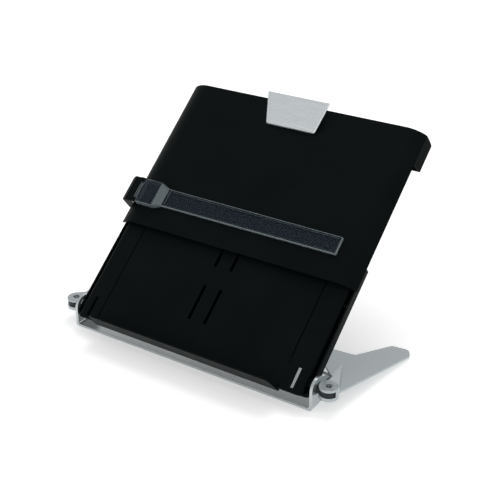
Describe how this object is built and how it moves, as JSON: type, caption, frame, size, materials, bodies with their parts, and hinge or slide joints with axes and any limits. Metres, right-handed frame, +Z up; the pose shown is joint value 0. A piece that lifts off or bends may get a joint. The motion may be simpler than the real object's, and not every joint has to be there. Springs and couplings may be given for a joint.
{
  "type": "desk document holder",
  "caption": "Tilting desk document holder: bent metal base with swinging legs, telescoping black panel with a bottom ledge, spring clip and sliding clear line guide.",
  "frame": {"origin": "on the desk, midway along the panel tilt axis and straight below it; it lies on the underside of the front foot strip", "axes": "+X to the right across the panel as the reader sees it, +Y away from the reader, +Z up"},
  "size_m": [0.4066, 0.2854, 0.248],
  "materials": {
    "base_metal": "satin, as rolled and bent",
    "leg_metal": "satin, cast",
    "clip_metal": "satin with bright bevels",
    "black_plastic": "fine matt grain",
    "clear_plastic": "clear, polished",
    "foot_rubber": "matt",
    "pin_steel": "turned",
    "rail_metal": "mill finish"
  },
  "bodies": {
    "base": {"base_plate": "base_metal", "front_foot_strip": "foot_rubber", "rear_foot_pads": "foot_rubber", "right_hinge_tongue": "pin_steel", "left_hinge_tongue": "pin_steel", "right_tilt_pin": "pin_steel", "left_tilt_pin": "pin_steel", "right_tilt_washer": "pin_steel", "left_tilt_washer": "pin_steel"},
    "right_leg_swing": {"right_leg": "leg_metal", "right_leg_pin": "pin_steel", "right_leg_foot": "foot_rubber"},
    "left_leg_swing": {"left_leg": "leg_metal", "left_leg_pin": "pin_steel", "left_leg_foot": "foot_rubber"},
    "lower_section": {"lower_tray": "black_plastic", "centre_panel": "black_plastic", "right_side_panel": "black_plastic", "left_side_panel": "black_plastic", "panel_screws": "pin_steel", "rail_brake_pads": "foot_rubber"},
    "upper_section": {"upper_panel": "black_plastic", "carriage_bar": "black_plastic", "right_rail": "rail_metal", "left_rail": "rail_metal", "rail_screws": "pin_steel", "upper_back_cover": "black_plastic", "cover_screws": "pin_steel", "clip_bracket": "pin_steel", "clip_rivets": "pin_steel", "clip_pin": "pin_steel", "clip_spring": "pin_steel"},
    "clip_lever": {"clip_plate": "clip_metal", "clip_grip_pad": "foot_rubber"},
    "guide_carriage": {"guide_slider": "black_plastic", "slider_friction_pad": "foot_rubber", "guide_hinge_pin": "pin_steel"},
    "guide_arm": {"line_guide": "clear_plastic"}
  },
  "joints": [
    {"name": "panel_tilt", "type": "hinge", "parent": "base", "child": "lower_section", "pos_m": [0, 0, 0.027], "axis": [1, 0, 0], "range_deg": [-8.4, 21.6]},
    {"name": "upper_section_slide", "type": "slide", "parent": "lower_section", "child": "upper_section", "axis": [0, 0.7837, 0.6211], "range_m": [-0.09, 0]},
    {"name": "clip_squeeze", "type": "hinge", "parent": "upper_section", "child": "clip_lever", "pos_m": [0, 0.2208, 0.22931], "axis": [1, 0, 0], "range_deg": [-18, 0], "stiffness_Nm_per_rad": 0.15, "springref_deg": 34.38},
    {"name": "guide_slide", "type": "slide", "parent": "upper_section", "child": "guide_carriage", "axis": [0, 0.7837, 0.6211], "range_m": [0, 0.1]},
    {"name": "guide_lift", "type": "hinge", "parent": "guide_carriage", "child": "guide_arm", "pos_m": [-0.1496, 0.10375, 0.13679], "axis": [0, -0.7837, -0.6211], "range_deg": [0, 25]},
    {"name": "right_leg_turn", "type": "hinge", "parent": "base", "child": "right_leg_swing", "pos_m": [0.1726, 0.0032, 0.0239], "axis": [0, 0, 1], "range_deg": [-12, 0]},
    {"name": "left_leg_turn", "type": "hinge", "parent": "base", "child": "left_leg_swing", "pos_m": [-0.1726, 0.0032, 0.0239], "axis": [0, 0, 1], "range_deg": [0, 12]}
  ]
}
